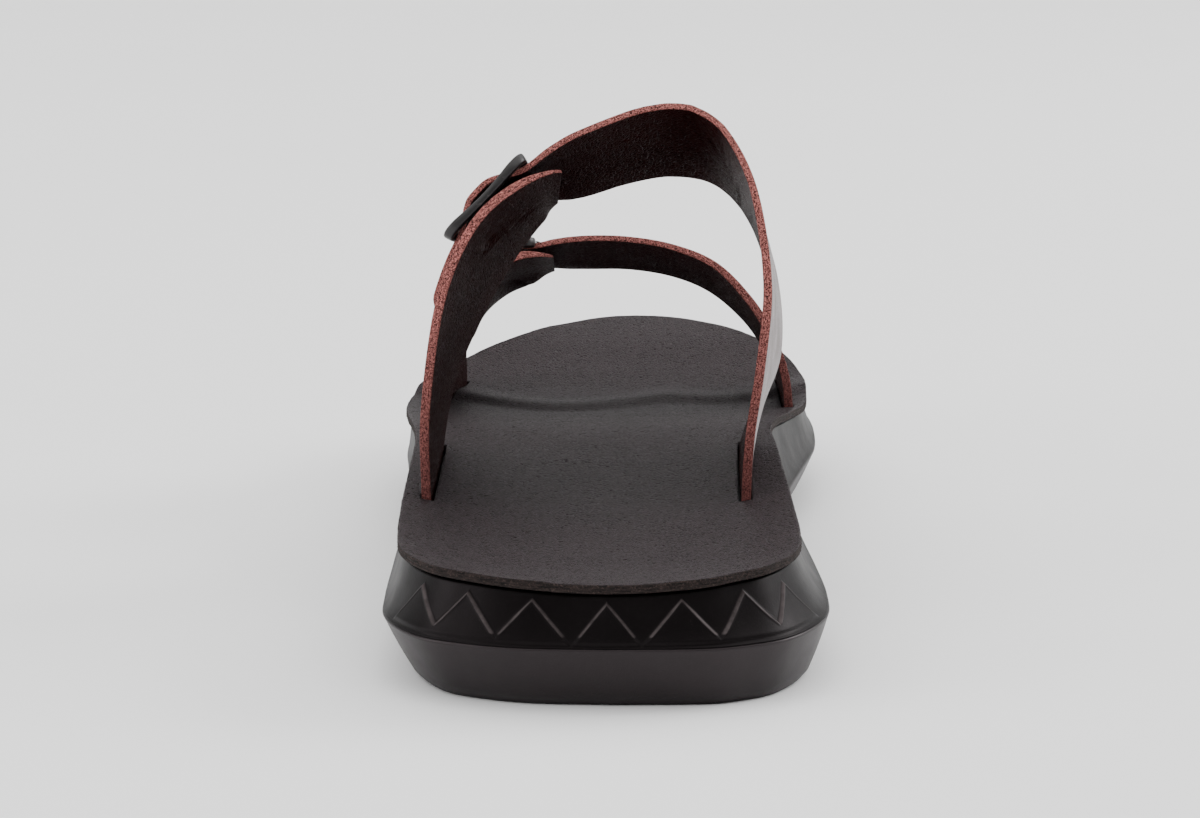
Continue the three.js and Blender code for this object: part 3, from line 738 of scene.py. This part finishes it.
def frame_path(half_long, half_wide, corner):
    """Rounded rectangle as steps along and across, in mm."""
    path = []
    turn = np.linspace(0, math.pi / 2, 9)
    corners = [(1, 1, 0.0), (-1, 1, 0.5), (-1, -1, 1.0), (1, -1, 1.5)]
    for sx, sy, start in corners:
        cx = sx * (half_long - corner)
        cy = sy * (half_wide - corner)
        path += [
            (cx + corner * math.cos(a), cy + corner * math.sin(a))
            for a in start * math.pi + turn
        ]
    closed = path + path[:1]
    fine = []
    for (x0, y0), (x1, y1) in zip(closed[:-1], closed[1:]):
        steps = max(1, int(math.hypot(x1 - x0, y1 - y0) / FRAME_STEP))
        fine += [(x0 + (x1 - x0) * k / steps, y0 + (y1 - y0) * k / steps) for k in range(steps)]
    return np.array(fine)


def make_buckle(name, strap, material):
    mid, high, low = strap["mid"], strap["high"], strap["low"]
    ends = strap_points(strap, np.array([low, mid, high]), np.full(3, 0.5), STRAP + GAP)
    reach_low = np.linalg.norm(ends[1] - ends[0])
    reach_high = np.linalg.norm(ends[2] - ends[1])
    edges = strap_points(strap, np.array([mid, mid]), np.array([0.0, 1.0]), 0.0)
    width = np.linalg.norm(edges[1] - edges[0])
    base = STRAP + GAP + RAIL / 2

    path = frame_path((reach_low + reach_high) / 2, width / 2 - RAIL_WIDTH / 2, FRAME_CORNER)
    along = path[:, 0] + (reach_high - reach_low) / 2
    share = np.where(along > 0, along / reach_high, along / reach_low)
    u = mid + np.where(along > 0, share * (high - mid), share * (mid - low))
    v = 0.5 + path[:, 1] / width
    lift = base + strap["end_lift"] * np.minimum(1, share * share)
    centres = strap_points(strap, u, v, lift)
    normals = strap_place(strap, u, v)[1]
    deep = RAIL / 2 * (1 + END_DEEPER * np.minimum(1, share * share))
    sweep(f"{name}_buckle_loop", centres, normals, RAIL_WIDTH / 2, deep, True, [material],
          [f"{name}_buckle_frame"])

    end = RAIL_WIDTH / 2 / width
    v = np.linspace(end, 1 - end, 24)
    u = np.full_like(v, mid)
    level = STRAP + GAP + MIDDLE_BAR / 2
    sweep(f"{name}_buckle_bar", strap_points(strap, u, v, level), strap_place(strap, u, v)[1],
          MIDDLE_BAR_WIDTH / 2, MIDDLE_BAR / 2, False, [material], [])

    over = 2 * (STRAP + GAP) + MIDDLE_BAR + GAP + TONGUE_RISE - SKIVED
    on_bar = STRAP + GAP + strap["end_lift"] + RAIL + GAP
    per_row = strap_scale(strap, high)[0]
    t = np.linspace(0, 1, 30)
    u = mid + (high + PRONG_REACH / per_row - mid) * t
    ahead = smooth((u - mid) / (high - mid))
    off = over + (on_bar - over) * ahead + PRONG / 2
    root_dip = PRONG * PRONG_ROOT_DIP * (1 - smooth(t / PRONG_ROOT))
    tip_dip = PRONG / 3 * smooth((t - PRONG_TIP_START) / (1 - PRONG_TIP_START))
    off = off - root_dip - tip_dip
    v = np.full_like(u, 0.5)
    narrower = smooth((t - PRONG_NARROWS_FROM) / (1 - PRONG_NARROWS_FROM))
    thinner = smooth((t - PRONG_THINS_FROM) / (1 - PRONG_THINS_FROM))
    sweep(f"{name}_buckle_tongue_pin", strap_points(strap, u, v, off), strap_place(strap, u, v)[1],
          PRONG_WIDTH / 2 * (1 - PRONG_NARROWS * narrower), PRONG / 2 * (1 - PRONG_THINS * thinner),
          False, [material], [f"{name}_buckle_prong"])


# Sole

def insole_piece(materials):
    loop = Loop(40, 12)
    top_shares = np.concatenate([np.linspace(0.985, 0.1, 40), [0.03]])

    def under(x, y):
        return bed_height(x, y) - INSOLE

    def level(depth):
        return lambda x, y: bed_height(x, y) - depth

    ragged = wobble(loop.x, loop.y, 0.0 * loop.x, TORN_COARSE, 5.0)
    fibres = wobble(loop.x, loop.y, 0.0 * loop.x, TORN_FINE, 9.0)
    rings = [loop.ring(0, under, s) for s in (0.03, 0.5, 0.95)]
    rings.append(loop.ring(-0.5, under))
    # Profile of the cut edge from the bottom up: mm outward, mm below the top
    edge = [
        (-0.16, 1.84), (0.02, 1.7), (0.07, 1.5), (0.0, 1.3), (-0.08, 1.15), (0.03, 1.0),
        (0.07, 0.8), (0.0, 0.62), (-0.07, 0.5), (0.02, 0.38), (0.0, 0.24), (-0.1, 0.12),
        (-0.3, 0.02),
    ]
    for out, depth in edge:
        torn = TORN * ragged + TORN * fibres * math.sin(depth * 5)
        rings.append(loop.ring(out + torn, level(depth)))
    cut_edge = range(3, 3 + len(edge) - 1)
    rings.append(loop.ring(-0.55, bed_height))
    rings += [loop.ring(0, bed_height, s) for s in top_shares]
    rings = np.array(rings)
    size = rings.shape[1]
    count = len(rings)
    faces = loft_faces(count, size)
    picks = []
    for k in range(count - 1):
        picks += [1 if k in cut_edge else 0] * size
    bottom = ladder_faces(size, 0, False)
    top = ladder_faces(size, (count - 1) * size, True)
    faces += bottom + top
    picks += [0] * (len(bottom) + len(top))
    piece = make_piece("foot_bed", rings, faces, materials, picks, None, ["insole"])
    cut(piece, slot_cutters(STRAPS["rear"]) + slot_cutters(STRAPS["front"]))
    return piece


def wall_reach(flare, share):
    return flare + (-INSOLE_OVERHANG - flare) * share**WALL_HOLLOW


def triangle_relief(along, share):
    """Rise of the heel wall at the row of triangles, and where its beads get a painted highlight,
    from 0 to 1.
    """
    inside = np.full(along.shape, -9.0)
    for way, half_share, peak in TRIANGLES:
        half = half_share * TRIANGLE_HALF
        slope = half / (peak - TRIANGLE_FOOT)
        lean = WALL_HEIGHT / slope
        for side in (-1, 1):
            off = np.abs(along - side * way * TRIANGLE_PITCH)
            room = half - off - slope * (share - TRIANGLE_FOOT)
            inside = np.maximum(inside, room * lean / math.hypot(1, lean))
    # Triangles fade in above the wall's foot, and beads start at the triangles' foot corners
    fade = smooth((share - 0.02) / 0.12)
    bead = np.exp(-((inside / BEAD_HALF) ** 2)) * smooth((share - TRIANGLE_FOOT + 0.03) / 0.06)
    rise = TRIANGLE_RISE * smooth(inside / TRIANGLE_BEVEL + 0.5) * fade + BEAD_RISE * bead
    return rise, bead


def midsole_piece(material):
    loop = Loop(76, 9)
    shares = np.concatenate([[0.0, 0.012], np.linspace(0.03, 0.9, 62), [0.95, 1.0]])

    def top(x, y):
        return bed_height(x, y) - INSOLE - GAP

    def level(share):
        def height(x, y):
            low = ridge_height(y) + GAP / 2
            return low + (top(x, y) - low) * share
        return height

    plain = np.zeros_like(loop.along)
    rings = [loop.ring(loop.flare - inward, level(0.0)) for inward in (JOINT_IN, 0.6)]
    wear_and_painted_highlight = [plain, plain]
    for share in shares:
        relief, bead = triangle_relief(loop.along, share)
        soften = -WALL_FOOT_SOFT * (1 - smooth(share / 0.03))
        rings.append(loop.ring(wall_reach(loop.flare, share) + relief + soften, level(share)))
        # The bead mask also marks where the rubber paints a highlight on the beads
        wear_and_painted_highlight.append(bead)
    rings.append(loop.ring(-INSOLE_OVERHANG - 0.6, top))
    rings += [loop.ring(-TOP_IN, top, s) for s in (1.0, 0.6, 0.2)]
    wear_and_painted_highlight += [plain] * 4
    rings = np.array(rings)
    size = rings.shape[1]
    faces = loft_faces(len(rings), size)
    faces += ladder_faces(size, 0, False)
    faces += ladder_faces(size, (len(rings) - 1) * size, True)
    return make_piece(
        "sole_upper_layer", rings, faces, [material], None, None, ["midsole"],
        np.array(wear_and_painted_highlight),
    )


def outsole_piece(material):
    loop = Loop(14, 9)

    def lift(by):
        return lambda x, y: ground_height(y) + by

    def level(share):
        def height(x, y):
            low = ground_height(y)
            return low + (ridge_height(y) - GAP / 2 - low) * share
        return height

    def lip(x, y):
        return ridge_height(y) + GAP / 2 - 0.04

    forward = smooth((loop.y / LENGTH - INSET_START) / INSET_SPAN)
    inset = (HEEL_INSET - HEEL_LEAN * loop.nx) * (1 - forward) + TOE_INSET * forward
    base = loop.flare - inset
    rings = [loop.ring(base - BASE_ROUND - 0.1, lift(0), s) for s in (0.03, 0.3, 0.6, 0.9, 1.0)]
    for a in (0.35, 0.8, 1.2):
        out = base - BASE_ROUND - 0.05 + BASE_ROUND * math.sin(a)
        rings.append(loop.ring(out, lift(BASE_ROUND * (1 - math.cos(a)))))
    for share in np.linspace(0.12, 0.955, 12):
        belly = WALL_BELLY * math.sin(math.pi * share)
        rings.append(loop.ring(base + inset * share + belly, level(share)))
    # The wall's round top edge, then the lip that runs in under the layer above
    rings.append(loop.ring(loop.flare - 0.02, level(0.99)))
    rings.append(loop.ring(loop.flare - 0.1, level(1.003)))
    rings.append(loop.ring(loop.flare - 0.28, lip))
    rings.append(loop.ring(loop.flare - JOINT_IN, lip))
    rings = np.array(rings)
    size = rings.shape[1]
    faces = loft_faces(len(rings), size)
    faces += ladder_faces(size, 0, False)
    faces += ladder_faces(size, (len(rings) - 1) * size, True)
    return make_piece(
        "sole_lower_layer", rings, faces, [material], None, None, ["outsole"]
    )


# Materials

class Shader:
    """A new material with short calls for its nodes."""

    def __init__(self, name):
        self.material = bpy.data.materials.new(name)
        self.material.use_nodes = True
        self.nodes = self.material.node_tree.nodes
        self.links = self.material.node_tree.links
        self.surface = self.nodes["Principled BSDF"]
        self.place = self.nodes.new("ShaderNodeTexCoord").outputs["Object"]
        self.sheet = self.nodes.new("ShaderNodeTexCoord").outputs["UV"]

    def node(self, kind, inputs=(), **settings):
        made = self.nodes.new(kind)
        for key, value in settings.items():
            setattr(made, key, value)
        for key, value in dict(inputs).items():
            if isinstance(value, bpy.types.NodeSocket):
                self.links.new(value, made.inputs[key])
            else:
                made.inputs[key].default_value = value
        return made

    def noise(self, scale, detail=4.0, rough=0.55, vector=None):
        inputs = {
            "Scale": scale, "Detail": detail, "Roughness": rough, "Vector": vector or self.place,
        }
        return self.node("ShaderNodeTexNoise", inputs).outputs["Fac"]

    def cells(self, scale, feature="DISTANCE_TO_EDGE"):
        inputs = {"Scale": scale, "Vector": self.place}
        return self.node("ShaderNodeTexVoronoi", inputs, feature=feature).outputs["Distance"]

    def stretched(self, source, x, y, z):
        made = self.node("ShaderNodeMapping", {"Vector": source})
        made.inputs["Scale"].default_value = (x, y, z)
        return made.outputs["Vector"]

    def ramp(self, value, low, high, out_low=0.0, out_high=1.0):
        inputs = {
            "Value": value, "From Min": low, "From Max": high,
            "To Min": out_low, "To Max": out_high,
        }
        return self.node("ShaderNodeMapRange", inputs).outputs["Result"]

    def mix(self, value, first, second):
        made = self.node("ShaderNodeMix", {"Factor": value}, data_type="RGBA")
        sockets = [s for s in made.inputs if s.type == "RGBA"]
        for socket, colour in zip(sockets, (first, second)):
            if isinstance(colour, bpy.types.NodeSocket):
                self.links.new(colour, socket)
            else:
                socket.default_value = (*colour, 1.0)
        return [s for s in made.outputs if s.type == "RGBA"][0]

    def maths(self, operation, first, second):
        made = self.nodes.new("ShaderNodeMath")
        made.operation = operation
        for socket, value in zip(made.inputs, (first, second)):
            if isinstance(value, bpy.types.NodeSocket):
                self.links.new(value, socket)
            else:
                socket.default_value = value
        return made.outputs[0]

    def bump(self, height, distance, strength=1.0, under=None):
        inputs = {"Height": height, "Distance": distance, "Strength": strength}
        if under is not None:
            inputs["Normal"] = under
        return self.node("ShaderNodeBump", inputs).outputs["Normal"]

    def finish(self, colour, roughness, normal, **settings):
        self.links.new(colour, self.surface.inputs["Base Color"])
        self.links.new(roughness, self.surface.inputs["Roughness"])
        self.links.new(normal, self.surface.inputs["Normal"])
        for key, value in settings.items():
            self.surface.inputs[key.replace("_", " ")].default_value = value
        return self.material


BLACK_SHEEN = (1.0, 0.86, 0.9, 1.0)
MAROON_SHEEN = (0.75, 0.12, 0.1, 1.0)

# Sole rubbers: dark and light colour of the clouds, shine, colour of the painted highlight on the
# beads
# Painted light: the lower rubber's colours are lifted over the upper's to stand in for the side
# lights and the floor's light on the outsole's wall
LOWER_RUBBER = ((0.003, 0.0023, 0.0025), (0.005, 0.004, 0.0042), 0.36)
UPPER_RUBBER = ((0.0009, 0.0007, 0.0007), (0.0017, 0.0013, 0.0013), 0.11, (0.06, 0.05, 0.05))


def insole_leather():
    s = Shader("foot_bed_leather")
    clouds = s.noise(40.0, 6.0)
    fine = s.noise(1700.0, 3.0)
    colour = s.mix(s.ramp(clouds, 0.3, 0.7), (0.0265, 0.0172, 0.0198), (0.031, 0.0203, 0.0232))
    colour = s.mix(s.ramp(fine, 0.55, 0.8, 0.0, 0.5), colour, (0.038, 0.031, 0.032))
    pores = s.ramp(s.cells(1250.0), 0.0, 0.16)
    colour = s.mix(s.ramp(pores, 0.0, 1.0, 0.7, 0.0), colour, (0.006, 0.0046, 0.005))
    normal = s.bump(pores, 0.0012, 1.0)
    normal = s.bump(s.noise(1100.0, 3.0), 0.00008, 0.4, normal)
    roughness = s.ramp(fine, 0.3, 0.7, 0.48, 0.56)
    return s.finish(colour, roughness, normal, Specular_IOR_Level=0.2, Specular_Tint=BLACK_SHEEN)


def insole_edge():
    s = Shader("foot_bed_cut_edge")
    strands = s.noise(420.0, 6.0, 0.7, s.stretched(s.place, 1.0, 1.0, 7.0))
    specks = s.noise(2600.0, 3.0)
    colour = s.mix(s.ramp(strands, 0.38, 0.62), (0.003, 0.0021, 0.002), (0.027, 0.018, 0.0165))
    colour = s.mix(s.ramp(specks, 0.54, 0.66, 0.0, 0.8), colour, (0.062, 0.043, 0.038))
    normal = s.bump(s.maths("ADD", strands, specks), 0.0004, 0.9)
    return s.finish(colour, s.ramp(specks, 0.3, 0.7, 0.75, 0.95), normal, Specular_IOR_Level=0.2)


def strap_inside():
    s = Shader("strap_flesh_side")
    clouds = s.noise(70.0, 5.0)
    fine = s.noise(1600.0, 4.0)
    colour = s.mix(s.ramp(clouds, 0.3, 0.7), (0.0082, 0.0005, 0.00045), (0.0135, 0.0011, 0.001))
    colour = s.mix(s.ramp(fine, 0.56, 0.72, 0.0, 0.7), colour, (0.042, 0.0085, 0.0075))
    grain = s.ramp(s.cells(1150.0), 0.0, 0.22)
    normal = s.bump(grain, 0.0005, 0.9)
    normal = s.bump(s.noise(420.0, 5.0), 0.0005, 0.6, normal)
    roughness = s.ramp(fine, 0.3, 0.7, 0.4, 0.58)
    return s.finish(
        colour, roughness, normal, Specular_IOR_Level=0.09, Specular_Tint=MAROON_SHEEN,
        Sheen_Weight=0.006, Sheen_Roughness=0.25, Sheen_Tint=(1.0, 0.5, 0.46, 1.0),
    )


def strap_edge():
    s = Shader("strap_cut_edge")
    strands = s.noise(1500.0, 6.0, 0.75, s.stretched(s.sheet, 1.0, 2.0, 1.0))
    specks = s.noise(3600.0, 3.0)
    colour = s.mix(s.ramp(strands, 0.4, 0.6), (0.075, 0.018, 0.0155), (0.68, 0.235, 0.205))
    colour = s.mix(s.ramp(specks, 0.5, 0.58, 0.0, 0.95), colour, (0.014, 0.004, 0.0036))
    # Painted shade: the cut edge gets darker below about 75 mm above the ground, most below 30 mm,
    # standing in for less light reaching low down
    height = s.node("ShaderNodeSeparateXYZ", {"Vector": s.place}).outputs["Z"]
    colour = s.mix(s.ramp(height, 0.03, 0.075, 0.72, 0.0), colour, (0.05, 0.011, 0.0095))
    normal = s.bump(s.maths("ADD", strands, specks), 0.0003, 0.9)
    return s.finish(colour, s.ramp(specks, 0.3, 0.7, 0.7, 0.92), normal, Specular_IOR_Level=0.25)


def strap_outside():
    s = Shader("strap_grain_side")
    clouds = s.noise(60.0, 5.0)
    colour = s.mix(s.ramp(clouds, 0.3, 0.7), (0.026, 0.0046, 0.005), (0.046, 0.0085, 0.0088))
    creases = s.ramp(s.cells(620.0), 0.0, 0.09)
    colour = s.mix(s.ramp(creases, 0.0, 1.0, 0.5, 0.0), colour, (0.013, 0.004, 0.0045))
    normal = s.bump(creases, 0.00008, 0.5)
    normal = s.bump(s.noise(240.0, 4.0), 0.0002, 0.4, normal)
    roughness = s.ramp(s.noise(110.0, 5.0), 0.3, 0.7, 0.3, 0.42)
    return s.finish(
        colour, roughness, normal, Specular_IOR_Level=0.3, Coat_Weight=0.06, Coat_Roughness=0.35,
    )


def rubber(name, dark, light, shine, painted_bead_highlight=None):
    s = Shader(name)
    clouds = s.noise(35.0, 5.0)
    dust = s.noise(900.0, 4.0)
    colour = s.mix(s.ramp(clouds, 0.3, 0.7), dark, light)
    colour = s.mix(s.ramp(dust, 0.6, 0.85, 0.0, 0.35), colour, tuple(2.2 * c for c in light))
    # Painted highlight: the beads along the heel's triangles are made lighter, standing in for
    # light caught on their upward bevels
    if painted_bead_highlight is not None:
        edges = s.node("ShaderNodeAttribute", attribute_name="painted_bead_highlight").outputs["Fac"]
        patchy = s.ramp(s.noise(420.0, 4.0), 0.3, 0.6, 0.45, 1.0)
        colour = s.mix(s.maths("MULTIPLY", s.ramp(edges, 0.2, 0.9), patchy), colour, painted_bead_highlight)
    normal = s.bump(s.noise(2600.0, 3.0), 0.00006, 0.5)
    normal = s.bump(s.noise(180.0, 4.0), 0.0001, 0.2, normal)
    roughness = s.ramp(s.noise(120.0, 5.0), 0.3, 0.7, 0.42, 0.5)
    return s.finish(colour, roughness, normal, Specular_IOR_Level=shine, Specular_Tint=BLACK_SHEEN)


def buckle_metal():
    s = Shader("buckle_black_metal")
    wear_and_painted_highlight = s.noise(700.0, 5.0)
    colour = s.mix(s.ramp(wear_and_painted_highlight, 0.62, 0.8), (0.02, 0.018, 0.0185), (0.1, 0.09, 0.09))
    normal = s.bump(s.noise(1800.0, 3.0), 0.00005, 0.5)
    roughness = s.ramp(s.noise(400.0, 4.0), 0.3, 0.7, 0.28, 0.45)
    return s.finish(colour, roughness, normal, Metallic=0.4, Specular_IOR_Level=0.5)


def floor_paint():
    s = Shader("floor_paint")
    colour = s.mix(s.noise(3.0, 3.0), (0.9, 0.9, 0.9), (0.93, 0.93, 0.93))
    normal = s.bump(s.noise(300.0, 2.0), 0.0001, 0.1)
    roughness = s.ramp(s.noise(20.0), 0.3, 0.7, 0.7, 0.8)
    return s.finish(colour, roughness, normal, Specular_IOR_Level=0.2)


# Studio

def make_floor():
    """Flat round floor that bends up softly a long way out."""
    flat = 5.0
    bend = 1.5
    sides = 96
    profile = [(flat * k / 4, 0.0) for k in range(1, 5)]
    profile += [
        (flat + bend * math.sin(a), bend * (1 - math.cos(a)))
        for a in np.linspace(0, math.pi / 2, 13)[1:]
    ]
    points = [(0.0, 0.0, 0.0)]
    for radius, height in profile:
        for k in range(sides):
            turn = 2 * math.pi * k / sides
            points.append((radius * math.cos(turn), radius * math.sin(turn), height))
    faces = [[0, 1 + k, 1 + (k + 1) % sides] for k in range(sides)]
    faces += [[1 + v for v in reversed(face)] for face in loft_faces(len(profile), sides)]
    mesh = bpy.data.meshes.new("studio_floor")
    mesh.from_pydata(points, [], faces)
    mesh.materials.append(floor_paint())
    mesh.polygons.foreach_set("use_smooth", [True] * len(mesh.polygons))
    floor = bpy.data.objects.new("studio_floor", mesh)
    bpy.context.scene.collection.objects.link(floor)


def area_light(name, place, target, size, power, colour=(1.0, 1.0, 1.0)):
    light = bpy.data.lights.new(name, "AREA")
    light.shape = "RECTANGLE"
    light.size, light.size_y = size
    light.energy = power
    light.color = colour
    lamp = bpy.data.objects.new(name, light)
    lamp.location = place
    lamp.rotation_euler = (Vector(target) - Vector(place)).to_track_quat("-Z", "Y").to_euler()
    lamp.visible_camera = False
    bpy.context.scene.collection.objects.link(lamp)


def make_studio():
    world = bpy.data.worlds.new("studio")
    world.use_nodes = True
    backdrop = world.node_tree.nodes["Background"]
    backdrop.inputs["Color"].default_value = (1.0, 0.99, 0.98, 1.0)
    backdrop.inputs["Strength"].default_value = 0.2
    bpy.context.scene.world = world
    centre = (0.0, 0.0, 0.03)
    # Lights: name, place and target in metres, size in metres, power in watts
    area_light("ceiling_soft", (0.0, 0.6, 3.0), (0.0, 0.6, 0.0), (8.0, 8.0), 420.0)
    area_light("left_soft", (-1.7, -0.55, 0.5), centre, (1.0, 0.8), 15.0)
    area_light("right_soft", (1.7, 0.5, 0.85), centre, (1.0, 0.7), 24.0)
    area_light("back_soft", (0.0, 3.2, 0.48), centre, (3.5, 0.65), 7.0)


def make_camera():
    data = bpy.data.cameras.new("view")
    data.sensor_fit = "HORIZONTAL"
    data.sensor_width = 36.0
    data.lens = CAMERA_LENS
    camera = bpy.data.objects.new("view", data)
    camera.location = (CAMERA_SIDE * MM, (-CAMERA_BACK - LENGTH / 2) * MM, CAMERA_UP * MM)
    camera.rotation_euler = (math.radians(90.0 - CAMERA_TILT), 0.0, 0.0)
    bpy.context.scene.collection.objects.link(camera)
    bpy.context.scene.camera = camera


make_camera()
make_studio()
make_floor()
outsole_piece(rubber("lower_sole_rubber", *LOWER_RUBBER))
midsole_piece(rubber("upper_sole_rubber", *UPPER_RUBBER))
insole_piece([insole_leather(), insole_edge()])
leather = [strap_inside(), strap_edge(), strap_outside()]
metal = buckle_metal()
for strap_name, strap_facts in STRAPS.items():
    make_straps(strap_name, strap_facts, leather)
    make_buckle(strap_name, strap_facts, metal)
